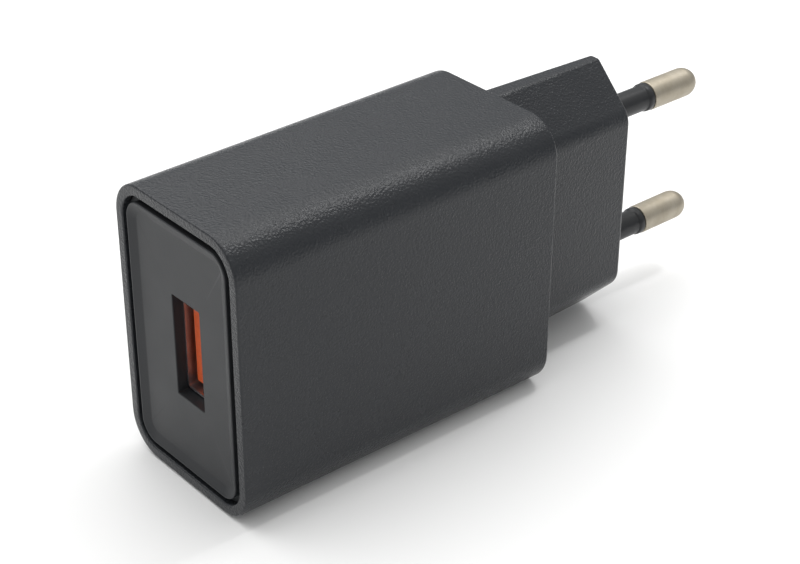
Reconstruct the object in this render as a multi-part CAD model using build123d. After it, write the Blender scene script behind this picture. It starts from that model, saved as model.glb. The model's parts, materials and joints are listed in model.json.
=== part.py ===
from build123d import *
import os

# A mains wall charger with two round pins and one USB-A socket, in millimetres.
# It is drawn about its own long axis: x to the right, y from the front rim towards the pins,
# z up. Every node is moved at the end, so that the origin lies under the middle of the whole.

# Housing
body_length = 47.5
front_width = 23.6
front_height = 37.3
rear_width = 24.6
rear_height = 37.7
corner_radius = 4.8
rim_width = 1.4
wall = 2.0
rear_wall = 1.8
rim_edge_radius = 0.2
rear_edge_radius = 0.35

# Plug neck, a six-sided prism with softened corners
neck_length = 18.7
neck_base_half_width = 7.2
neck_base_half_height = 18.55
neck_end_half_width = 6.7
neck_end_half_height = 18.25
neck_slope = 6.05
neck_side_radius = 3.3
neck_tip_radius = 1.5
neck_wall = 1.6
neck_end_wall = 2.4
neck_end_radius = 0.65
neck_inner_flat = 0.4

# Front panel: a raised border, and a face sunk inside it
groove_width = 0.75
groove_depth = 1.0
panel_thickness = 2.4
border_width = 1.35
border_crest = 0.2
border_top = 0.05
face_depth = 0.56
panel_clearance = 0.05
skirt_depth = 2.2
skirt_wall = 1.2
hook_half_width = 3.0
hook_reach = 0.6

# Mains pins
pin_radius = 2.0
pin_spacing = 19.0
pin_length = 19.1
pin_dome = 2.2
shank_radius = 1.3
sleeve_radius = 1.73
sleeve_length = 9.15
sleeve_ramp = 0.25
sleeve_collar = 0.9
collar_radius = 1.93
knurl_radius = 2.5
knurl_length = 2.2
knurl_count = 18
rivet_radius = 1.0
boss_radius = 4.0
boss_length = 3.0

# USB-A socket: the opening, the shell and the insulating tongue
port_x = 0.72
port_z = 0.0
port_width = 5.36
port_height = 13.54
port_wall = 1.5
shell_inner_width = 5.12
shell_inner_height = 12.5
shell_sheet = 0.3
shell_length = 13.8
tongue_width = 1.84
tongue_height = 11.1
tongue_offset = 0.98
contact_places = (-3.5, -1.0, 1.0, 3.5)
contact_width = 1.1

# Circuit board and what stands on it
board_x = 4.3
board_thickness = 1.6
board_front = 5.2
board_rear = 45.0
board_half_height = 16.2
capacitor_radius = 4.0
capacitor_height = 12.0
output_capacitor_radius = 3.6
transformer_y = 24.6
core_length = 14.6
core_span = 16.0
core_thickness = 5.0
core_x = -2.6
lead_radius = 0.3

shell_front = face_depth + port_wall
shell_rear = shell_front + shell_length
tongue_front = shell_front + 0.7
neck_end = body_length + neck_length
tip = neck_end + pin_length
shoulder = neck_end + sleeve_length + sleeve_collar
board_back = board_x + board_thickness
lead_end = board_back + 0.9
capacitor_sites = ((37.4, 11.2), (37.4, -11.2))
output_sites = ((10.6, 11.7), (10.6, -11.7))
inductor_y = 37.4
fuse_y = 43.3
fuse_half_pitch = 5.4
y_capacitor_z = 12.3
lead_pitch = 1.75


def across(y):
    """Plane that faces forwards at depth y, with local x to the right and local y up."""
    return Plane(origin=(0, y, 0), x_dir=(1, 0, 0), z_dir=(0, -1, 0))


def rounded(y, width, height, radius, x=0.0, z=0.0):
    return across(y) * Pos(x, z) * RectangleRounded(width, height, radius)


def back(face, depth):
    """Runs a forward-facing section straight back."""
    return extrude(face, amount=depth, dir=(0, 1, 0))


def tapered(front, rear):
    return loft([front, rear], ruled=True)


def block(xs, ys, zs):
    size = [abs(b - a) for a, b in (xs, ys, zs)]
    centre = [(a + b) / 2 for a, b in (xs, ys, zs)]
    return Pos(*centre) * Box(*size)


def rod_y(x, z, y0, y1, radius):
    return Pos(x, (y0 + y1) / 2, z) * Rot(90, 0, 0) * Cylinder(radius, abs(y1 - y0))


def rod_x(y, z, x0, x1, radius):
    return Pos((x0 + x1) / 2, y, z) * Rot(0, 90, 0) * Cylinder(radius, abs(x1 - x0))


def rod_z(x, y, z0, z1, radius):
    return Pos(x, y, (z0 + z1) / 2) * Cylinder(radius, abs(z1 - z0))


def group(pieces):
    """Separate solids that belong to one node."""
    solids = []
    for piece in pieces:
        solids += piece.solids()
    return Compound(solids)


def half_size(front, rear, y, inset):
    """Half the housing's width or height at depth y, less an inset from its outer surface."""
    return (front + (rear - front) * y / body_length) / 2 - inset


def drafted_block(y0, y1, inset):
    """The housing's form between two depths: flat sides that spread to the rear, round long edges."""
    corners = ((-1, y0), (1, y0), (1, y1), (-1, y1))
    plan = [(side * half_size(front_width, rear_width, y, inset), y) for side, y in corners]
    elevation = [(y, side * half_size(front_height, rear_height, y, inset)) for side, y in corners]
    from_above = extrude(Polygon(*plan, align=None), amount=rear_height, both=True)
    from_the_side = extrude(Plane.YZ * Polygon(*elevation, align=None), amount=rear_width, both=True)
    solid = from_above & from_the_side
    long_edges = [edge for edge in solid.edges() if abs((edge % 0.5).Y) > 0.9]
    return fillet(long_edges, corner_radius - inset)


def neck_section(y, half_width, half_height, slope, side_radius, tip_radius):
    """Six-sided plug outline: flat sides, two slopes at each end and a narrow flat tip."""
    shoulder_z = half_height - slope
    flat_x = half_width - slope
    right = [(half_width, -shoulder_z), (half_width, shoulder_z), (flat_x, half_height)]
    left = [(-flat_x, half_height), (-half_width, shoulder_z), (-half_width, -shoulder_z)]
    bottom = [(-flat_x, -half_height), (flat_x, -half_height)]
    outline = Polygon(*right, *left, *bottom, align=None)
    ends = [v for v in outline.vertices() if abs(v.Y) > shoulder_z + slope / 2]
    outline = fillet(ends, tip_radius)
    sides = [v for v in outline.vertices() if abs(abs(v.X) - half_width) < 0.001]
    outline = fillet(sides, side_radius)
    return across(y) * outline


def neck_solid():
    base = neck_section(
        body_length - rear_wall / 2, neck_base_half_width, neck_base_half_height,
        neck_slope, neck_side_radius, neck_tip_radius)
    end = neck_section(
        neck_end, neck_end_half_width, neck_end_half_height,
        neck_slope, neck_side_radius, neck_tip_radius)
    solid = tapered(base, end)
    rim = solid.faces().sort_by(Axis.Y)[-1].edges()
    return fillet(rim, neck_end_radius)


def neck_hollow():
    def inner(y, half_width, half_height):
        half = half_width - neck_wall
        return neck_section(y, half, half_height - neck_wall, half - neck_inner_flat, 1.0, 0.3)
    front = inner(body_length - rear_wall - 0.1, neck_base_half_width, neck_base_half_height)
    end = inner(neck_end - neck_end_wall, neck_end_half_width, neck_end_half_height)
    return tapered(front, end)


def body_solid():
    solid = drafted_block(0, body_length, 0)
    by_depth = solid.faces().sort_by(Axis.Y)
    solid = fillet(by_depth[-1].edges(), rear_edge_radius)
    rim = solid.faces().sort_by(Axis.Y)[0].edges()
    return fillet(rim, rim_edge_radius)


def board_rails():
    """Two pairs of ribs inside the top and bottom walls, which the board slides between."""
    rails = []
    for side in (-1, 1):
        for x0 in (board_x - 1.05, board_back + 0.05):
            rails.append(block((x0, x0 + 1.0), (6.0, 44.0), (side * 15.4, side * 17.0)))
    return rails


def pin_places():
    return (pin_spacing / 2, -pin_spacing / 2)


def main_case():
    pocket = back(rounded(
        0, front_width - 2 * rim_width, front_height - 2 * rim_width,
        corner_radius - rim_width), panel_thickness)
    hollow = drafted_block(panel_thickness, body_length - rear_wall, wall)
    case = body_solid() + neck_solid() - pocket - hollow - neck_hollow()
    for rail in board_rails():
        case += rail
    inner_face = neck_end - neck_end_wall
    for z in pin_places():
        case += rod_y(0, z, inner_face - boss_length, inner_face + 0.1, boss_radius)
    for z in pin_places():
        case -= rod_y(0, z, inner_face - boss_length, inner_face, knurl_radius + 0.05)
        case -= rod_y(0, z, inner_face - 0.1, neck_end + 0.1, sleeve_radius + 0.03)
    for side in (-1, 1):
        catch = (side * (front_width / 2 - wall - 0.2), side * (front_width / 2 - wall + 0.85))
        case -= block(catch, (5.0, 7.0), (-hook_half_width - 0.2, hook_half_width + 0.2))
    return case


def panel_outline(y, grow=0.0):
    inset = rim_width + groove_width - grow
    radius = corner_radius - inset
    return rounded(y, front_width - 2 * inset, front_height - 2 * inset, radius)


def skirt_section(inset):
    return rounded(0, front_width - 2 * inset, front_height - 2 * inset, corner_radius - inset)


def snap_hooks():
    """One hook on each side wall of the skirt, with a slanted nose that clicks into the housing."""
    hooks = []
    for side in (-1, 1):
        outer = front_width / 2 - wall - 0.1
        arm_x = (side * (outer - 1.1), side * outer)
        arm = block(arm_x, (4.0, 7.4), (-hook_half_width, hook_half_width))
        inner_x = outer - 0.05
        point_x = outer + hook_reach
        nose_points = [(inner_x, 5.2), (point_x, 5.2), (point_x, 5.6), (inner_x, 6.8)]
        face = Polygon(*[(side * x, y) for x, y in nose_points], align=None)
        nose = extrude(face, amount=2 * hook_half_width, dir=(0, 0, 1))
        hooks.append(arm + Pos(0, 0, -hook_half_width) * nose)
    return hooks


def front_panel():
    panel = back(panel_outline(border_top), groove_depth - border_top)
    flange = panel_outline(groove_depth, groove_width - panel_clearance)
    panel += back(flange, panel_thickness - groove_depth)
    skirt_inset = wall + 0.1 + panel_clearance
    skirt = skirt_section(skirt_inset)
    ring = back(skirt, skirt_depth) - back(skirt_section(skirt_inset + skirt_wall), skirt_depth)
    panel += Pos(0, panel_thickness, 0) * ring
    for hook in snap_hooks():
        panel += hook
    crest = panel_outline(border_top, -border_crest)
    face_edge = panel_outline(face_depth, -border_width)
    panel -= tapered(crest, face_edge)
    panel -= back(rounded(0, port_width, port_height, 0.15, port_x, port_z), shell_front + 0.1)
    seat_width = shell_inner_width + 2 * shell_sheet + 0.2
    seat_height = shell_inner_height + 2 * shell_sheet + 1.0
    panel -= back(rounded(shell_front, seat_width, seat_height, 0.5, port_x, port_z), 8)
    return panel


def pin(z):
    pull = 0.5523
    dome = Bezier(
        (pin_radius, tip - pin_dome), (pin_radius, tip - pin_dome * (1 - pull)),
        (pin_radius * pull, tip), (0, tip))
    root = neck_end - neck_end_wall - boss_length
    outline = Polyline(
        (0, tip), (0, root), (shank_radius, root), (shank_radius, shoulder),
        (pin_radius - 0.15, shoulder), (pin_radius, shoulder + 0.15), (pin_radius, tip - pin_dome))
    metal = revolve(make_face([dome, outline]), Axis.Y)
    knurl_front = neck_end - neck_end_wall - 0.2
    metal += rod_y(0, 0, knurl_front - knurl_length, knurl_front, knurl_radius)
    for k in range(knurl_count):
        groove_x = (knurl_radius - 0.2, knurl_radius + 0.3)
        groove = block(groove_x, (knurl_front - knurl_length, knurl_front), (-0.15, 0.15))
        metal -= Rot(0, 360 * k / knurl_count, 0) * groove
    metal += rod_y(0, 0, root - 0.55, root, rivet_radius)
    head = Pos(0, root - 0.75, 0) * Rot(90, 0, 0) * Cylinder(rivet_radius + 0.6, 0.4)
    return Pos(0, 0, z) * (metal + head)


def pin_sleeve(z):
    start = neck_end - neck_end_wall + 0.05
    ramp = neck_end + sleeve_length
    outline = Polyline(
        (shank_radius + 0.03, start), (sleeve_radius, start), (sleeve_radius, ramp - sleeve_ramp),
        (collar_radius - 0.03, ramp), (collar_radius, shoulder - 0.1),
        (collar_radius - 0.09, shoulder - 0.02), (shank_radius + 0.03, shoulder - 0.02),
        (shank_radius + 0.03, start))
    return Pos(0, 0, z) * revolve(make_face(outline), Axis.Y)


def pin_contact(z):
    """Flat strip: a washer end riveted to the pin, a bend, and a long leg soldered to the board."""
    root = neck_end - neck_end_wall - boss_length
    thickness = 0.5
    leg_x = board_x - thickness
    washer = rod_y(0, 0, root - thickness, root, 3.4)
    washer += block((0, board_x), (root - thickness, root), (-1.6, 1.6))
    leg = block((leg_x, board_x), (board_rear - 3.2, root), (-1.6, 1.6))
    hole = rod_y(0, 0, root - thickness - 0.1, root + 0.1, rivet_radius + 0.03)
    return Pos(0, 0, z) * (washer + leg - hole)


def shell_section(y, inset=0.0):
    width = shell_inner_width + 2 * shell_sheet - 2 * inset
    height = shell_inner_height + 2 * shell_sheet - 2 * inset
    return rounded(y, width, height, 0.7 - inset, port_x, port_z)


def usb_shell():
    """Folded sheet tube with four leaf springs, four board legs and a closed back."""
    front = shell_front
    rear = shell_rear
    bore = back(shell_section(front - 1, shell_sheet), shell_length + 0.7)
    shell = back(shell_section(front), shell_length) - bore
    outer = shell_inner_width / 2 + shell_sheet
    for side in (-1, 1):
        for z in (-2.9, 2.9):
            wall_x = port_x + side * (outer - shell_sheet / 2)
            middle = port_z + z
            window = (middle - 1.3, middle + 1.3)
            shell -= block((wall_x - 0.4, wall_x + 0.4), (front + 2.4, front + 7.4), window)
            leaf = Box(shell_sheet - 0.04, 4.6, 2.0)
            shell += Pos(wall_x - side * 0.11, front + 5.1, middle) * Rot(0, 0, side * 3.0) * leaf
    side_z = shell_inner_height / 2 + shell_sheet
    for side in (-1, 1):
        for y in (front + 4.6, rear - 2.4):
            edge = (port_z + side * (side_z - shell_sheet), port_z + side * side_z)
            shell += block((port_x, lead_end), (y, y + 1.5), edge)
    shell -= block((port_x - 1.6, port_x + 4.0), (rear - 0.5, rear + 0.5), (port_z - 5.0, port_z + 5.0))
    return shell


def tongue_edges():
    """Both faces of the tongue, to the left and to the right of the socket's middle."""
    right = port_x - tongue_offset + tongue_width / 2
    return right - tongue_width, right


def usb_tongue():
    left, right = tongue_edges()
    rear = shell_rear - 0.5
    zs = (port_z - tongue_height / 2, port_z + tongue_height / 2)
    tongue = block((left, right), (tongue_front, rear - 3.4), zs)
    nose = tongue.edges().group_by(Axis.Y)[0]
    tongue = chamfer(nose, 0.2)
    plug_width = shell_inner_width - 0.1
    plug_height = shell_inner_height - 0.1
    tongue += back(rounded(rear - 3.6, plug_width, plug_height, 0.3, port_x, port_z), 3.6)
    for z in contact_places:
        slot = (port_z + z - contact_width / 2 - 0.05, port_z + z + contact_width / 2 + 0.05)
        tongue -= block((right - 0.2, right + 0.5), (tongue_front + 0.9, rear + 1), slot)
    return tongue


def usb_contacts():
    right = tongue_edges()[1]
    rear = shell_rear - 0.5
    contacts = []
    for z in contact_places:
        zs = (port_z + z - contact_width / 2, port_z + z + contact_width / 2)
        blade = block((right - 0.18, right + 0.07), (tongue_front + 1.0, rear + 1.2), zs)
        crown = block((right + 0.07, right + 0.2), (tongue_front + 2.6, tongue_front + 5.2), zs)
        foot_z = (port_z + z - 0.35, port_z + z + 0.35)
        foot = block((right - 0.18, lead_end), (rear + 0.8, rear + 1.2), foot_z)
        contacts.append(blade + crown + foot)
    return group(contacts)


def board_leads():
    """Depth and height of each capacitor or inductor lead that goes through the board."""
    leads = []
    for y, z in capacitor_sites + output_sites + ((inductor_y, 0.0),):
        leads += [(y, z - lead_pitch), (y, z + lead_pitch)]
    return leads


def side_leads():
    """Depth and height of the leads of the two parts that lie or stand on edge."""
    fuse = [(fuse_y, -fuse_half_pitch), (fuse_y, fuse_half_pitch)]
    safety = [(transformer_y - 2.5, y_capacitor_z), (transformer_y + 2.5, y_capacitor_z)]
    return fuse, safety


def transformer_pin_sites():
    sites = []
    for side, count in ((1, 5), (-1, 4)):
        for k in range(count):
            sites.append((transformer_y + (k - (count - 1) / 2) * 2.5, side * 7.6))
    return sites


def main_board():
    zs = (-board_half_height, board_half_height)
    board = block((board_x, board_back), (board_front, board_rear), zs)
    board = chamfer(board.edges().filter_by(Axis.X), 0.8)
    fuse, safety = side_leads()
    for y, z in board_leads() + transformer_pin_sites() + fuse + safety:
        board -= rod_x(y, z, board_x - 1, board_back + 1, 0.45)
    isolation_slot = (transformer_y - 7.5, transformer_y + 7.5)
    board -= block((board_x - 1, board_back + 1), isolation_slot, (4.4, 5.6))
    side_z = shell_inner_height / 2 + shell_sheet / 2
    for side in (-1, 1):
        for y in (shell_front + 4.6, shell_rear - 2.4):
            middle = port_z + side * side_z
            slot = (middle - 0.3, middle + 0.3)
            board -= block((board_x - 1, board_back + 1), (y - 0.2, y + 1.7), slot)
    contact_y = shell_rear + 0.5
    for z in contact_places:
        board -= rod_x(contact_y, port_z + z, board_x - 1, board_back + 1, 0.5)
    return board


def canned_capacitor(y, z, radius, height):
    """Aluminium can standing on the board, with a crimp near its seal and a scored vent on top."""
    foot = board_x - 0.15
    can = rod_x(y, z, foot - height, foot, radius)
    can = fillet(can.edges().group_by(Axis.X)[0], 0.5)
    crimp = Pos(foot - 1.6, y, z) * Rot(0, 90, 0) * Torus(radius + 0.15, 0.4)
    can -= crimp
    for turn in (0, 90):
        score = Pos(foot - height, y, z) * Rot(turn, 0, 0) * Box(0.3, radius * 1.2, 0.3)
        can -= score
    return can


def capacitor_leads():
    return group([rod_x(y, z, board_x - 0.1, lead_end, lead_radius) for y, z in board_leads()])


def core_half(side):
    """E-shaped ferrite half: a back, two outer legs and a centre leg."""
    xs = (core_x - core_thickness / 2, core_x + core_thickness / 2)
    half = core_length / 2
    gap = 0.03
    y = transformer_y
    back_plate = block(xs, (y - core_span / 2, y + core_span / 2), (side * (half - 2.6), side * half))
    outer = core_span / 2
    core = back_plate
    for ys in ((y - outer, y - outer + 2.4), (y - 2.0, y + 2.0), (y + outer - 2.4, y + outer)):
        core += block(xs, ys, (side * gap, side * (half - 2.5)))
    return core


def transformer_bobbin():
    y = transformer_y
    inner_half = core_thickness / 2 + 0.1
    leg_half = 2.1
    tube_half_x = inner_half + 0.7
    tube_half_y = leg_half + 0.7
    bobbin = block(
        (core_x - tube_half_x, core_x + tube_half_x), (y - tube_half_y, y + tube_half_y), (-4.4, 4.4))
    for side in (-1, 1):
        flange = block((core_x - 6.2, core_x + 6.2), (y - 5.4, y + 5.4), (side * 3.7, side * 4.5))
        rail_x = (core_x + inner_half + 0.2, board_x - 0.1)
        rail = block(rail_x, (y - 6.6, y + 6.6), (side * 3.7, side * 8.6))
        bobbin += fillet(flange.edges().filter_by(Axis.Z), 0.8) + rail
    opening = block((core_x - inner_half, core_x + inner_half), (y - leg_half, y + leg_half), (-9, 9))
    return bobbin - opening


def wound_section(half_x, half_y):
    outline = Pos(core_x, transformer_y) * RectangleRounded(2 * half_x, 2 * half_y, 1.6)
    return Pos(0, 0, -3.6) * extrude(outline, amount=7.2, dir=(0, 0, 1))


def transformer_winding():
    core_tube = Pos(core_x, transformer_y) * Rectangle(core_thickness + 1.7, 5.7)
    hole = Pos(0, 0, -4) * extrude(core_tube, amount=8, dir=(0, 0, 1))
    return wound_section(5.3, 4.9) - hole


def winding_tape():
    return wound_section(5.6, 5.2) - wound_section(5.32, 4.92)


def transformer_pins():
    rail_bottom = board_x - 0.1
    return group([rod_x(y, z, rail_bottom, lead_end, 0.35) for y, z in transformer_pin_sites()])


def inductor_core():
    foot = board_x - 0.15
    drum = rod_x(inductor_y, 0, foot - 8.0, foot, 1.8)
    for x in (foot - 8.0, foot - 1.1):
        drum += rod_x(inductor_y, 0, x, x + 1.1, 3.6)
    return drum


def inductor_winding():
    foot = board_x - 0.15
    coil = rod_x(inductor_y, 0, foot - 6.85, foot - 1.15, 3.1)
    return coil - rod_x(inductor_y, 0, foot - 7, foot - 1, 1.85)


def y_capacitor():
    disc = rod_z(board_x - 4.6, transformer_y, y_capacitor_z - 1.7, y_capacitor_z + 1.7, 3.9)
    return fillet(disc.edges(), 1.0)


def y_capacitor_leads():
    safety = side_leads()[1]
    disc = rod_z(board_x - 4.6, transformer_y, y_capacitor_z - 2, y_capacitor_z + 2, 3.93)
    return group([rod_x(y, z, board_x - 2.5, lead_end, lead_radius) - disc for y, z in safety])


def fuse_resistor():
    """Round resistor body lying on the board between its two leads."""
    x = board_x - 1.8
    tube = rod_z(x, fuse_y, -3.6, 3.6, 1.3)
    for side in (-1, 1):
        tube += fillet(rod_z(x, fuse_y, side * 2.2, side * 3.8, 1.55).edges(), 0.4)
    return tube


def fuse_leads():
    x = board_x - 1.8
    leads = []
    for side in (-1, 1):
        run = rod_z(x, fuse_y, side * 3.83, side * fuse_half_pitch, lead_radius)
        bend = Pos(x, fuse_y, side * fuse_half_pitch) * Sphere(lead_radius)
        leads.append(run + bend + rod_x(fuse_y, side * fuse_half_pitch, x, lead_end, lead_radius))
    return group(leads)


def chip_sites():
    """Packages on the right-hand face of the board: depth, height, length, width and thickness."""
    return {
        "switching_controller": (33.0, -8.6, 5.0, 4.0, 1.5),
        "sync_rectifier": (15.0, 12.0, 5.0, 4.0, 1.5),
        "protocol_chip": (12.0, 0.4, 3.0, 1.7, 1.1),
        "bridge_rectifier": (32.4, 0.4, 4.8, 4.0, 1.4),
    }


def chip(name):
    y, z, length, width, thickness = chip_sites()[name]
    x0 = board_back + 0.12
    ys = (y - length / 2, y + length / 2)
    package = block((x0, x0 + thickness), ys, (z - width / 2, z + width / 2))
    package = chamfer(package.edges().group_by(Axis.X)[-1], 0.15)
    dot = rod_x(y - length / 2 + 0.8, z - width / 2 + 0.8, x0 + thickness - 0.1, x0 + thickness + 0.1, 0.3)
    return package - dot


def optocoupler():
    ys = (transformer_y - 3.2, transformer_y + 3.2)
    package = block((board_x - 3.6, board_x - 0.4), ys, (-14.6, -10.2))
    return chamfer(package.edges().group_by(Axis.X)[0], 0.3)


def chip_leads():
    """Bent legs of the flat packages, four to a side."""
    legs = []
    for y, z, length, width, _ in chip_sites().values():
        count = 4 if length > 4 else 3
        pitch = 1.2 if count == 4 else 0.95
        for k in range(count):
            leg_y = y + (k - (count - 1) / 2) * pitch
            ys = (leg_y - 0.18, leg_y + 0.18)
            for side in (-1, 1):
                edge = z + side * (width / 2 + 0.02)
                upper = block((board_back + 0.6, board_back + 0.8), ys, (edge, edge + side * 0.45))
                knee = edge + side * 0.3
                riser = block((board_back + 0.02, board_back + 0.8), ys, (knee, knee + side * 0.2))
                foot = block((board_back + 0.02, board_back + 0.22), ys, (knee, knee + side * 0.7))
                legs.append(upper + riser + foot)
    return group(legs)


def optocoupler_legs():
    legs = []
    for y in (transformer_y - 1.27, transformer_y + 1.27):
        for z in (-14.62, -10.18):
            side = -1 if z < -12 else 1
            outward = (z, z + side * 0.3)
            legs.append(block((board_x - 2.2, board_x - 0.02), (y - 0.3, y + 0.3), outward))
    return group(legs)


def surface_row(y, z_first, pitch, count, size):
    """A row of small rectangular chips on the right-hand face of the board."""
    length, width, height = size
    x0 = board_back + 0.03
    row = []
    for k in range(count):
        z = z_first + k * pitch
        ys = (y - length / 2, y + length / 2)
        row.append(block((x0, x0 + height), ys, (z - width / 2, z + width / 2)))
    return row


def chip_resistors():
    size = (1.6, 0.8, 0.45)
    rows = surface_row(28.8, -14.6, 1.6, 4, size) + surface_row(18.4, -4.4, 1.6, 6, size)
    return group(rows + surface_row(40.6, -2.4, 1.6, 4, size) + surface_row(8.4, -2.0, 1.8, 3, size))


def chip_capacitors():
    size = (2.0, 1.25, 0.9)
    rows = surface_row(25.6, -14.5, 2.2, 3, size) + surface_row(21.6, -14.5, 2.2, 3, size)
    return group(rows + surface_row(31.6, 9.6, 2.2, 3, size))


def solder_joints():
    """A low cone of solder where each lead comes through the board."""
    cones = []
    fuse, safety = side_leads()
    for y, z in board_leads() + transformer_pin_sites() + fuse + safety:
        cone = Pos(board_back + 0.37, y, z) * Rot(0, 90, 0) * Cone(0.95, 0.45, 0.7)
        cones.append(cone - rod_x(y, z, board_back - 1, lead_end + 0.5, 0.36))
    return group(cones)


def insulation_sheet():
    """Thin sheet folded round the soldered side, between the board and the housing."""
    x = 9.1
    sheet = block((x, x + 0.25), (8.0, 44.0), (-15.4, 15.4))
    fold = block((x - 2.0, x + 0.25), (8.0, 44.0), (15.15, 15.4))
    return sheet + fold + fold.mirror(Plane.XY)


def nodes():
    upper, lower = pin_places()
    made = {
        "main_case": main_case(),
        "front_panel": front_panel(),
        "pin_upper": pin(upper),
        "pin_lower": pin(lower),
        "pin_sleeve_upper": pin_sleeve(upper),
        "pin_sleeve_lower": pin_sleeve(lower),
        "pin_contact_upper": pin_contact(upper),
        "pin_contact_lower": pin_contact(lower),
        "usb_shell": usb_shell(),
        "usb_tongue": usb_tongue(),
        "usb_contacts": usb_contacts(),
        "main_board": main_board(),
        "transformer_core_upper": core_half(1),
        "transformer_core_lower": core_half(-1),
        "transformer_bobbin": transformer_bobbin(),
        "transformer_winding": transformer_winding(),
        "winding_tape": winding_tape(),
        "transformer_pins": transformer_pins(),
        "capacitor_leads": capacitor_leads(),
        "inductor_core": inductor_core(),
        "inductor_winding": inductor_winding(),
        "y_capacitor": y_capacitor(),
        "y_capacitor_leads": y_capacitor_leads(),
        "fuse_resistor": fuse_resistor(),
        "fuse_leads": fuse_leads(),
        "optocoupler": optocoupler(),
        "optocoupler_legs": optocoupler_legs(),
        "chip_leads": chip_leads(),
        "chip_resistors": chip_resistors(),
        "chip_capacitors": chip_capacitors(),
        "solder_joints": solder_joints(),
        "insulation_sheet": insulation_sheet(),
    }
    for number, (y, z) in enumerate(capacitor_sites, 1):
        made[f"input_capacitor_{number}"] = canned_capacitor(y, z, capacitor_radius, capacitor_height)
    for number, (y, z) in enumerate(output_sites, 1):
        made[f"output_capacitor_{number}"] = canned_capacitor(y, z, output_capacitor_radius, 10.5)
    for name in chip_sites():
        made[name] = chip(name)
    return made


os.makedirs("parts", exist_ok=True)
to_origin = Pos(0, -tip / 2, rear_height / 2)
for name, shape in nodes().items():
    export_step(to_origin * shape, f"parts/{name}.step")
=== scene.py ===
import json
import math

import bmesh
import bpy
from mathutils import Matrix, Vector


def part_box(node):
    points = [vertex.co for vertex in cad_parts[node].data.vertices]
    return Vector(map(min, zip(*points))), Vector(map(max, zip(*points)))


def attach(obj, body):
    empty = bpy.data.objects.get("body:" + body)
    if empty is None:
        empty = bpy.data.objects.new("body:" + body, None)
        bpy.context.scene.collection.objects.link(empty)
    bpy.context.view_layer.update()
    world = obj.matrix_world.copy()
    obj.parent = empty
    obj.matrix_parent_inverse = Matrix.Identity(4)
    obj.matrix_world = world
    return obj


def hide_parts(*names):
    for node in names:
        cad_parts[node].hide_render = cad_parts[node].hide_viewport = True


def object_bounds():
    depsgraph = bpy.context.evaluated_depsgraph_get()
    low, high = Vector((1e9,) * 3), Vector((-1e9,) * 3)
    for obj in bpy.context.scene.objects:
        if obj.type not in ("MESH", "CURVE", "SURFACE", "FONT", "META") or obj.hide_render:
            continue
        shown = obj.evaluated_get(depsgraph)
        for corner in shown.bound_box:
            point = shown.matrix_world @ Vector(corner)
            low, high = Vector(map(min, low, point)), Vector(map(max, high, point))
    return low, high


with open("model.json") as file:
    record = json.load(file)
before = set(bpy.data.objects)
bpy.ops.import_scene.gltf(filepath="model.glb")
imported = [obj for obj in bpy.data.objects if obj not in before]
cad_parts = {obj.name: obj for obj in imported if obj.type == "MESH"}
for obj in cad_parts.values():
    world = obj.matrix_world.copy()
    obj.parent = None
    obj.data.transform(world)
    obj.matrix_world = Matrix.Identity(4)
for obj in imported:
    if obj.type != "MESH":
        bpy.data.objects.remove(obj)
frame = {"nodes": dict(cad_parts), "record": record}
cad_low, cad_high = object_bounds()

# Sizes are in millimetres about the charger's own long axis: x to the right, y from the front
# rim towards the pins, z up. They become metres in the shared frame when a mesh is made.
MM = 0.001
case_low, case_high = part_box("main_case")
front_y = case_low[1] / MM
axis_z = (case_low[2] + case_high[2]) / 2 / MM
rear_width = (case_high[0] - case_low[0]) / MM
rear_height = (case_high[2] - case_low[2]) / MM
neck_end = case_high[1] / MM - front_y
pin_tip = cad_high[1] / MM - front_y

body_length = 47.5
front_width = 23.6
front_height = 37.3
corner_radius = 4.8
rim_width = 1.4
wall = 2.0
rear_wall = 1.8
rim_edge = 0.22
rim_inner_edge = 0.22
rear_edge = 0.35

neck_base = (7.2, 18.55)
neck_tip = (6.7, 18.25)
neck_slope = 6.05
neck_radii = (3.3, 2.5)
neck_edge = 0.65
neck_wall = 1.6
neck_end_wall = 2.4

groove_width = 0.75
groove_depth = 1.0
panel_thickness = 2.4
border_width = 1.35
border_crest = 0.2
border_top = 0.05
face_depth = 0.56
panel_edge = 0.12
foot_blend = 0.12
skirt_inset = 2.15
skirt_wall = 1.2
skirt_depth = 2.2

pin_places = (9.5, -9.5)
pin_radius = 2.0
pin_dome = 2.2
shank_radius = 1.3
knurl_radius = 2.5
knurl_length = 2.2
boss_length = 3.0
rivet_radius = 1.0
rivet_length = 0.55
rivet_head = (1.6, 0.4)
sleeve_radius = 1.73
collar_radius = 1.93
collar_length = 0.9
shoulder = neck_end + 9.15 + collar_length

port_place = (0.72, 0.0)
port_size = (5.36, 13.54)
port_wall = 1.5
shell_front = face_depth + port_wall

CORNER_STEPS = 16
SIDE_STEPS = 9
TIP_STEPS = 6
TURNS = 72


# ---------------------------------------------------------------- outlines

def arc(centre, radius, start, sweep, steps):
    """Points on an arc in the x-z plane, both ends included."""
    points = []
    for k in range(steps + 1):
        angle = math.radians(start + sweep * k / steps)
        points.append((centre[0] + radius * math.cos(angle), centre[1] + radius * math.sin(angle)))
    return points


def rounded_ring(width, height, radius, centre=(0.0, 0.0)):
    """Rounded rectangle, anticlockwise seen from behind, with one arc for each corner."""
    half_x = width / 2 - radius
    half_z = height / 2 - radius
    ring = []
    for number, (sx, sz) in enumerate(((1, 1), (-1, 1), (-1, -1), (1, -1))):
        middle = (centre[0] + sx * half_x, centre[1] + sz * half_z)
        ring += arc(middle, radius, 90 * number, 90, CORNER_STEPS)
    return ring


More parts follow.
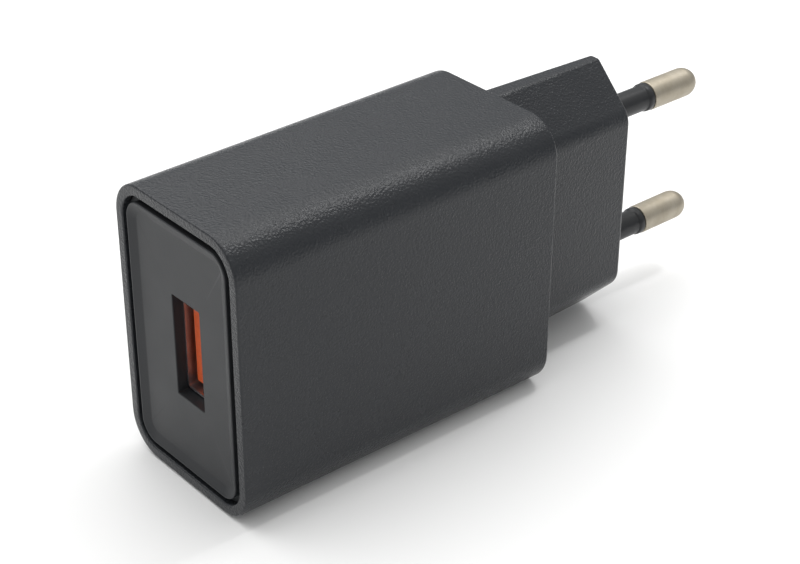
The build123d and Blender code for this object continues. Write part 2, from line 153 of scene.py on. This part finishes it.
def rounded_turn(corner, before, after, radius, steps):
    """The arc that rounds a polygon's corner between its two neighbours."""
    corner = Vector(corner)
    to_before = (Vector(before) - corner).normalized()
    to_after = (Vector(after) - corner).normalized()
    half = to_before.angle(to_after) / 2
    centre = corner + (to_before + to_after).normalized() * radius / math.sin(half)
    first = corner + to_before * radius / math.tan(half) - centre
    start = math.degrees(math.atan2(first.y, first.x))
    return arc(centre, radius, start, 180 - math.degrees(2 * half), steps)


def neck_ring(half_width, half_height, slope, side_radius, tip_radius):
    """Six-sided plug outline with the same number of points as a rounded rectangle's."""
    shoulder_z = half_height - slope
    flat_x = half_width - slope
    quarter = [(half_width, shoulder_z), (flat_x, half_height)]
    corners = quarter + [(-x, z) for x, z in quarter[::-1]]
    corners += [(-x, -z) for x, z in quarter] + [(x, -z) for x, z in quarter[::-1]]
    ring = []
    count = len(corners)
    for k, corner in enumerate(corners):
        on_side = k % 4 in (0, 3)
        radius, steps = (side_radius, SIDE_STEPS) if on_side else (tip_radius, TIP_STEPS)
        ring += rounded_turn(corner, corners[k - 1], corners[(k + 1) % count], radius, steps)
    return ring


def body_ring(y, inset):
    share = y / body_length
    width = front_width + (rear_width - front_width) * share - 2 * inset
    height = front_height + (rear_height - front_height) * share - 2 * inset
    return rounded_ring(width, height, max(corner_radius - inset, 0.8))


def neck_ring_at(y, inset):
    share = (y - body_length) / (neck_end - body_length)
    half_width = neck_base[0] + (neck_tip[0] - neck_base[0]) * share - inset
    half_height = neck_base[1] + (neck_tip[1] - neck_base[1]) * share - inset
    slope = min(neck_slope - inset * (2 - math.sqrt(2)), half_width - 0.4)
    side, tip = (max(radius - inset, 0.3) for radius in neck_radii)
    return neck_ring(half_width, half_height, slope, side, min(tip, half_width - slope))


def round_over(radius, steps=4):
    """Quarter-round profile: pairs of (depth from the face, inset from the side), face first."""
    pairs = []
    for k in range(steps + 1):
        angle = math.radians(90 * k / steps)
        pairs.append((radius * (1 - math.sin(angle)), radius * (1 - math.cos(angle))))
    return pairs[::-1]


# ---------------------------------------------------------------- meshes

class Shell:
    """A mesh made of rings of points joined by quads."""

    def __init__(self):
        self.mesh = bmesh.new()

    def ring(self, y, outline):
        place = front_y + y
        return [self.mesh.verts.new((x * MM, place * MM, (axis_z + z) * MM)) for x, z in outline]

    def join(self, first, second):
        count = len(first)
        for k in range(count):
            after = (k + 1) % count
            self.mesh.faces.new((first[k], first[after], second[after], second[k]))

    def tube(self, rings):
        for first, second in zip(rings, rings[1:]):
            self.join(first, second)

    def fill(self, *loops):
        """Flat face between an outer loop and the holes in it."""
        edges = []
        for loop in loops:
            for k, vert in enumerate(loop):
                other = loop[(k + 1) % len(loop)]
                edge = self.mesh.edges.get((vert, other)) or self.mesh.edges.new((vert, other))
                edges.append(edge)
        bmesh.ops.triangle_fill(self.mesh, use_beauty=True, edges=edges)

    def finish(self, name, material, slot, *nodes, sharp=35):
        bmesh.ops.remove_doubles(self.mesh, verts=self.mesh.verts, dist=1e-7)
        bmesh.ops.recalc_face_normals(self.mesh, faces=self.mesh.faces)
        for edge in self.mesh.edges:
            if len(edge.link_faces) == 2 and edge.calc_face_angle(0) > math.radians(sharp):
                edge.smooth = False
        data = bpy.data.meshes.new(name)
        self.mesh.to_mesh(data)
        self.mesh.free()
        for face in data.polygons:
            face.use_smooth = True
        piece = bpy.data.objects.new(name, data)
        bpy.context.collection.objects.link(piece)
        piece.data.materials.append(material)
        weighted = piece.modifiers.new("flat_faces_stay_flat", "WEIGHTED_NORMAL")
        weighted.keep_sharp = True
        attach(piece, "root")
        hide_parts(*nodes)
        return piece


def round_ring(centre, radius, turns=TURNS):
    return arc(centre, radius, 0, 360 * (turns - 1) / turns, turns - 1)


def build_case(material):
    shell = Shell()
    outer = [shell.ring(y, body_ring(y, inset)) for y, inset in round_over(rim_edge)]
    outer += [shell.ring(body_length - y, body_ring(body_length - y, inset))
              for y, inset in round_over(rear_edge)[::-1]]
    neck = [shell.ring(body_length, neck_ring_at(body_length, 0))]
    neck += [shell.ring(neck_end - y, neck_ring_at(neck_end - y, inset))
             for y, inset in round_over(neck_edge, 6)[::-1]]
    shell.tube(outer + neck)

    inner_face = neck_end - neck_end_wall
    hollow = [shell.ring(inner_face, neck_ring_at(inner_face, neck_wall))]
    rear_face = body_length - rear_wall
    hollow.append(shell.ring(rear_face, neck_ring_at(rear_face, neck_wall)))
    hollow.append(shell.ring(rear_face, body_ring(rear_face, wall)))
    hollow.append(shell.ring(panel_thickness, body_ring(panel_thickness, wall)))
    pocket_width = front_width - 2 * rim_width
    pocket_height = front_height - 2 * rim_width
    for y, grow in [(panel_thickness, 0)] + round_over(rim_inner_edge)[::-1]:
        radius = corner_radius - rim_width + grow
        outline = rounded_ring(pocket_width + 2 * grow, pocket_height + 2 * grow, radius)
        hollow.append(shell.ring(y, outline))
    shell.tube(hollow)
    shell.join(hollow[-1], outer[0])

    holes_out = []
    holes_in = []
    for z in pin_places:
        hole_radius = sleeve_radius + 0.03
        outside = [shell.ring(neck_end, round_ring((0, z), hole_radius + 0.06))]
        outside.append(shell.ring(neck_end - 0.06, round_ring((0, z), hole_radius)))
        inside = shell.ring(inner_face, round_ring((0, z), hole_radius))
        shell.tube(outside + [inside])
        holes_out.append(outside[0])
        holes_in.append(inside)
    shell.fill(neck[-1], *holes_out)
    shell.fill(hollow[0], *holes_in)
    return shell.finish("housing", material, "housing_plastic", "main_case")


def panel_ring(inset):
    """Panel outline, inset from the inner edge of the gap round it."""
    side = rim_width + groove_width + inset
    return rounded_ring(front_width - 2 * side, front_height - 2 * side, corner_radius - side)


def build_panel(material):
    """Raised border, a face sunk inside it, the socket's opening and a flange behind the gap."""
    shell = Shell()
    port = rounded_ring(*port_size, 0.15, port_place)
    port_wide = rounded_ring(port_size[0] + 0.16, port_size[1] + 0.16, 0.2, port_place)
    rings = [shell.ring(shell_front, port), shell.ring(face_depth + 0.08, port)]
    rings.append(shell.ring(face_depth, port_wide))
    slope = (face_depth - border_top) / (border_width - border_crest)
    rings.append(shell.ring(face_depth, panel_ring(border_width + foot_blend)))
    rings.append(shell.ring(face_depth - foot_blend * slope, panel_ring(border_width - foot_blend)))
    rings.append(shell.ring(border_top, panel_ring(border_crest)))
    for depth, inset in round_over(panel_edge):
        rings.append(shell.ring(border_top + depth, panel_ring(inset)))
    rings.append(shell.ring(groove_depth, panel_ring(0)))
    flange = -groove_width + 0.05
    rings.append(shell.ring(groove_depth, panel_ring(flange)))
    rings.append(shell.ring(panel_thickness, panel_ring(flange)))
    skirt_end = panel_thickness + skirt_depth
    for y, inset in ((panel_thickness, skirt_inset), (skirt_end, skirt_inset),
                     (skirt_end, skirt_inset + skirt_wall), (panel_thickness, skirt_inset + skirt_wall)):
        outline = rounded_ring(front_width - 2 * inset, front_height - 2 * inset, corner_radius - inset)
        rings.append(shell.ring(y, outline))
    seat = rounded_ring(port_size[0] + 0.56, port_size[1] + 0.16, 0.5, port_place)
    rings.append(shell.ring(panel_thickness, seat))
    rings.append(shell.ring(shell_front, seat))
    shell.tube(rings)
    shell.join(rings[-1], rings[0])
    return shell.finish("front_cover", material, "panel_plastic", "front_panel", sharp=20)


def revolved(profile, z, name, material, slot, *nodes):
    """Turns a closed profile of (depth, radius) points about a pin's axis."""
    shell = Shell()
    rings = []
    for y, radius in profile:
        rings.append(shell.ring(y, round_ring((0, z), max(radius, 0.002))))
    shell.tube(rings + rings[:1])
    return shell.finish(name, material, slot, *nodes)


def pin_profile():
    root = neck_end - neck_end_wall - boss_length
    knurl = neck_end - neck_end_wall - 0.2
    head_front = root - rivet_head[1] - rivet_length
    profile = [(head_front, 0), (head_front, rivet_head[0]), (root - rivet_length, rivet_head[0])]
    profile += [(root - rivet_length, rivet_radius), (root, rivet_radius), (root, shank_radius)]
    profile += [(knurl - knurl_length, shank_radius), (knurl - knurl_length, knurl_radius)]
    profile += [(knurl, knurl_radius), (knurl, shank_radius), (shoulder, shank_radius)]
    profile += [(shoulder + depth, pin_radius - inset) for depth, inset in round_over(0.16)]
    for k in range(15):
        angle = math.radians(90 * k / 14)
        profile.append((pin_tip - pin_dome * (1 - math.sin(angle)), pin_radius * math.cos(angle)))
    return profile


def sleeve_profile():
    start = neck_end - neck_end_wall + 0.05
    ramp = shoulder - collar_length
    end = shoulder - 0.04
    bore = shank_radius + 0.03
    profile = [(start, bore), (start, sleeve_radius), (ramp - 0.25, sleeve_radius)]
    profile += [(ramp - 0.16, sleeve_radius + 0.03), (ramp - 0.04, collar_radius - 0.05)]
    profile += [(ramp + 0.05, collar_radius - 0.02), (shoulder - 0.2, collar_radius)]
    profile += [(shoulder - 0.08, collar_radius - 0.06), (end, collar_radius - 0.2), (end, bore)]
    return profile


# ---------------------------------------------------------------- materials

class Nodes:
    """Short names for building a node material."""

    def __init__(self, name):
        self.material = bpy.data.materials.new(name)
        self.material.use_nodes = True
        self.tree = self.material.node_tree
        self.shader = self.tree.nodes["Principled BSDF"]
        self.place = self.tree.nodes.new("ShaderNodeTexCoord").outputs["Object"]

    def link(self, output, target):
        self.tree.links.new(output, target)

    def stretched(self, factors):
        mapping = self.tree.nodes.new("ShaderNodeMapping")
        mapping.inputs["Scale"].default_value = factors
        self.link(self.place, mapping.inputs["Vector"])
        return mapping.outputs["Vector"]

    def noise(self, size_mm, detail=2.0, roughness=0.5, vector=None):
        node = self.tree.nodes.new("ShaderNodeTexNoise")
        node.inputs["Scale"].default_value = 1.0 / (size_mm * MM)
        node.inputs["Detail"].default_value = detail
        node.inputs["Roughness"].default_value = roughness
        self.link(vector or self.place, node.inputs["Vector"])
        return node.outputs["Fac"]

    def cells(self, size_mm):
        node = self.tree.nodes.new("ShaderNodeTexVoronoi")
        node.feature = "SMOOTH_F1"
        node.inputs["Scale"].default_value = 1.0 / (size_mm * MM)
        node.inputs["Smoothness"].default_value = 0.6
        self.link(self.place, node.inputs["Vector"])
        return node.outputs["Distance"]

    def ramp(self, value, low, high, out_low, out_high):
        node = self.tree.nodes.new("ShaderNodeMapRange")
        limits = {"From Min": low, "From Max": high, "To Min": out_low, "To Max": out_high}
        for name, number in limits.items():
            node.inputs[name].default_value = number
        self.link(value, node.inputs["Value"])
        return node.outputs["Result"]

    def mix(self, factor, first, second):
        node = self.tree.nodes.new("ShaderNodeMix")
        node.data_type = "RGBA"
        self.link(factor, node.inputs["Factor"])
        node.inputs["A"].default_value = (*first, 1)
        node.inputs["B"].default_value = (*second, 1)
        return node.outputs["Result"]

    def add(self, first, second):
        node = self.tree.nodes.new("ShaderNodeMath")
        node.operation = "ADD"
        self.link(first, node.inputs[0])
        self.link(second, node.inputs[1])
        return node.outputs[0]

    def bump(self, height, depth_mm):
        node = self.tree.nodes.new("ShaderNodeBump")
        node.inputs["Strength"].default_value = 1.0
        node.inputs["Distance"].default_value = depth_mm * MM
        self.link(height, node.inputs["Height"])
        return node.outputs["Normal"]

    def set(self, **values):
        names = {"metallic": "Metallic", "specular": "Specular IOR Level"}
        for name, value in values.items():
            self.shader.inputs[names[name]].default_value = value


def moulded(name, dark, light, roughness, grain_mm, grain_depth, specular=0.5):
    """Charcoal plastic with a spark-eroded grain that scatters the highlight."""
    nodes = Nodes(name)
    patches = nodes.noise(6.0, 3.0, 0.55)
    speckle = nodes.noise(grain_mm * 0.7, 1.0)
    tone = nodes.ramp(nodes.add(patches, speckle), 0.7, 1.3, 0.0, 1.0)
    nodes.link(nodes.mix(tone, dark, light), nodes.shader.inputs["Base Color"])
    grain = nodes.add(nodes.cells(grain_mm), nodes.noise(grain_mm * 0.6, 2.0, 0.6))
    wear = nodes.ramp(patches, 0.35, 0.65, roughness - 0.03, roughness + 0.03)
    nodes.link(wear, nodes.shader.inputs["Roughness"])
    nodes.link(nodes.bump(grain, grain_depth), nodes.shader.inputs["Normal"])
    nodes.set(specular=specular)
    return nodes.material


def plated(name, dark, light, roughness, brush_mm):
    """Satin plating with fine turned marks and a little unevenness."""
    nodes = Nodes(name)
    cloud = nodes.noise(2.2, 4.0, 0.6)
    tone = nodes.ramp(cloud, 0.35, 0.65, 0, 1)
    nodes.link(nodes.mix(tone, dark, light), nodes.shader.inputs["Base Color"])
    rings = nodes.noise(brush_mm, 3.0, 0.6, nodes.stretched((0.3, 6.0, 0.3)))
    gloss = nodes.ramp(rings, 0.3, 0.7, roughness - 0.06, roughness + 0.08)
    nodes.link(gloss, nodes.shader.inputs["Roughness"])
    nodes.link(nodes.bump(rings, 0.004), nodes.shader.inputs["Normal"])
    nodes.set(metallic=1.0)
    return nodes.material


def simple(name, dark, light, roughness, size_mm, depth_mm, metallic=0.0):
    """A mottled material for the inner parts: two tones, uneven gloss and a fine surface."""
    nodes = Nodes(name)
    cloud = nodes.noise(size_mm, 4.0, 0.6)
    tone = nodes.ramp(cloud, 0.35, 0.65, 0, 1)
    nodes.link(nodes.mix(tone, dark, light), nodes.shader.inputs["Base Color"])
    gloss = nodes.ramp(cloud, 0.3, 0.7, roughness - 0.05, roughness + 0.08)
    nodes.link(gloss, nodes.shader.inputs["Roughness"])
    nodes.link(nodes.bump(cloud, depth_mm), nodes.shader.inputs["Normal"])
    nodes.set(metallic=metallic)
    return nodes.material


MATERIALS = {
    "housing_plastic": moulded(
        "housing_grain", (0.0190, 0.0210, 0.0245), (0.0230, 0.0250, 0.0285),
        0.26, 0.30, 0.052, 0.30),
    "panel_plastic": moulded(
        "panel_grain", (0.0215, 0.0230, 0.0255), (0.0250, 0.0265, 0.0290),
        0.42, 0.16, 0.006, 0.28),
    "sleeve_plastic": moulded(
        "sleeve_grain", (0.016, 0.017, 0.019), (0.020, 0.021, 0.023),
        0.38, 0.14, 0.006, 0.32),
    "pin_nickel": plated("pin_nickel", (0.38, 0.34, 0.27), (0.44, 0.40, 0.33), 0.52, 0.3),
    "socket_steel": plated("socket_steel", (0.50, 0.50, 0.52), (0.56, 0.56, 0.58), 0.34, 1.6),
    "tongue_plastic": simple(
        "tongue_orange", (0.62, 0.085, 0.016), (0.72, 0.115, 0.022),
        0.42, 0.5, 0.004),
    "contact_gold": simple(
        "contact_gold", (0.80, 0.56, 0.22), (0.90, 0.66, 0.30),
        0.24, 0.4, 0.002, 1.0),
    "spring_bronze": simple(
        "spring_bronze", (0.55, 0.33, 0.16), (0.72, 0.47, 0.24),
        0.34, 0.8, 0.004, 1.0),
    "board_laminate": simple("board_green", (0.012, 0.10, 0.035), (0.020, 0.14, 0.05), 0.32, 1.2, 0.01),
    "ferrite": simple("ferrite", (0.035, 0.035, 0.038), (0.055, 0.055, 0.06), 0.62, 0.3, 0.02),
    "bobbin_plastic": simple(
        "bobbin_plastic", (0.022, 0.022, 0.024), (0.032, 0.032, 0.034),
        0.5, 0.5, 0.01),
    "winding_copper": simple(
        "winding_copper", (0.48, 0.14, 0.05), (0.66, 0.24, 0.09),
        0.3, 0.25, 0.03, 1.0),
    "tape_yellow": simple("tape_yellow", (0.68, 0.46, 0.04), (0.78, 0.56, 0.07), 0.3, 1.5, 0.006),
    "tinned_wire": simple("tinned_wire", (0.58, 0.58, 0.59), (0.70, 0.70, 0.71), 0.28, 0.4, 0.004, 1.0),
    "solder": simple("solder", (0.62, 0.63, 0.65), (0.76, 0.77, 0.79), 0.18, 0.5, 0.01, 1.0),
    "capacitor_sleeve": simple(
        "capacitor_sleeve", (0.012, 0.016, 0.034), (0.02, 0.026, 0.05),
        0.3, 2.0, 0.01),
    "disc_blue": simple("disc_blue", (0.02, 0.09, 0.36), (0.035, 0.13, 0.45), 0.35, 0.8, 0.02),
    "resistor_body": simple("resistor_body", (0.16, 0.26, 0.22), (0.22, 0.34, 0.29), 0.45, 0.5, 0.015),
    "chip_black": simple("chip_black", (0.014, 0.014, 0.015), (0.022, 0.022, 0.023), 0.55, 0.2, 0.01),
    "chip_ceramic": simple("chip_ceramic", (0.38, 0.27, 0.16), (0.50, 0.37, 0.23), 0.5, 0.3, 0.006),
    "sheet_film": simple("sheet_film", (0.58, 0.42, 0.14), (0.68, 0.52, 0.2), 0.28, 2.0, 0.01),
}


def dress_frame():
    """Gives every CAD node the material of its slot."""
    for part in frame["record"]["subparts"]:
        node = frame["nodes"][part["node"]]
        node.data.materials.clear()
        node.data.materials.append(MATERIALS[part["material_slot"]])


# ---------------------------------------------------------------- stage

camera_azimuth = 49.686
camera_elevation = 30.853
camera_roll = 0.246
camera_distance = 0.227812
camera_target = Vector((0.0043085, -0.013341, 0.019118))
focal_share = 1869.573 / 800
sensor_width = 36.0


def place_camera():
    azimuth, elevation, roll = (math.radians(a) for a in (camera_azimuth, camera_elevation, camera_roll))
    level = math.cos(elevation)
    backward = Vector((math.sin(azimuth) * level, -math.cos(azimuth) * level, math.sin(elevation)))
    right = Vector((math.cos(azimuth), math.sin(azimuth), 0))
    up = backward.cross(right)
    turned_right = right * math.cos(roll) + up * math.sin(roll)
    turned_up = up * math.cos(roll) - right * math.sin(roll)
    data = bpy.data.cameras.new("camera")
    data.sensor_width = sensor_width
    data.lens = sensor_width * focal_share
    data.clip_start = 0.01
    data.clip_end = 20
    camera = bpy.data.objects.new("camera", data)
    turn = Matrix((turned_right, turned_up, backward)).transposed().to_4x4()
    camera.matrix_world = Matrix.Translation(camera_target + backward * camera_distance) @ turn
    bpy.context.collection.objects.link(camera)
    bpy.context.scene.camera = camera


def soft_light(name, place, aim, size, power):
    data = bpy.data.lights.new(name, "AREA")
    data.shape = "RECTANGLE"
    data.size, data.size_y = size
    data.energy = power
    lamp = bpy.data.objects.new(name, data)
    lamp.location = place
    lamp.rotation_mode = "QUATERNION"
    lamp.rotation_quaternion = (Vector(aim) - Vector(place)).to_track_quat("-Z", "Y")
    bpy.context.collection.objects.link(lamp)


def build_stage():
    half = 3.0
    mesh = bmesh.new()
    level = cad_low[2] - 0.02 * MM
    corners = ((-half, -half), (half, -half), (half, half), (-half, half))
    mesh.faces.new([mesh.verts.new((x, y, level)) for x, y in corners])
    data = bpy.data.meshes.new("floor")
    mesh.to_mesh(data)
    mesh.free()
    floor = bpy.data.objects.new("floor", data)
    bpy.context.collection.objects.link(floor)
    nodes = Nodes("floor_white")
    nodes.shader.inputs["Base Color"].default_value = (0.9, 0.9, 0.9, 1)
    nodes.shader.inputs["Roughness"].default_value = 0.9
    nodes.set(specular=0.1)
    data.materials.append(nodes.material)

    world = bpy.data.worlds.new("studio")
    bpy.context.scene.world = world
    world.use_nodes = True
    tree = world.node_tree
    direction = tree.nodes.new("ShaderNodeTexCoord").outputs["Generated"]
    parts = tree.nodes.new("ShaderNodeSeparateXYZ")
    tree.links.new(direction, parts.inputs["Vector"])
    height = tree.nodes.new("ShaderNodeValToRGB")
    stops = height.color_ramp.elements
    stops[0].position, stops[0].color = 0.05, (0.10, 0.12, 0.15, 1)
    stops[1].position, stops[1].color = 0.45, (0.76, 0.76, 0.75, 1)
    tree.links.new(parts.outputs["Z"], height.inputs["Fac"])
    sky = tree.nodes["Background"]
    tree.links.new(height.outputs["Color"], sky.inputs["Color"])
    sky.inputs["Strength"].default_value = 1.0
    soft_light("overhead", (-0.36, 0.0, 0.80), (0, 0, 0.02), (1.0, 1.0), 6.6)
    soft_light("behind", (0.0, 0.40, 0.60), (0, 0, 0.02), (0.22, 0.14), 0.3)
    soft_light("grain_glint", (0.01, 0.14, 0.29), (0.008, -0.034, 0.037), (0.04, 0.04), 0.15)
    bpy.context.scene.view_settings.view_transform = "Standard"


place_camera()
dress_frame()
build_case(MATERIALS["housing_plastic"])
build_panel(MATERIALS["panel_plastic"])
for place, z in zip(("upper", "lower"), pin_places):
    revolved(
        pin_profile(), z, f"metal_pin_{place}", MATERIALS["pin_nickel"], "pin_nickel", f"pin_{place}")
    revolved(
        sleeve_profile(), z, f"insulating_sleeve_{place}", MATERIALS["sleeve_plastic"], "sleeve_plastic",
        f"pin_sleeve_{place}")
build_stage()
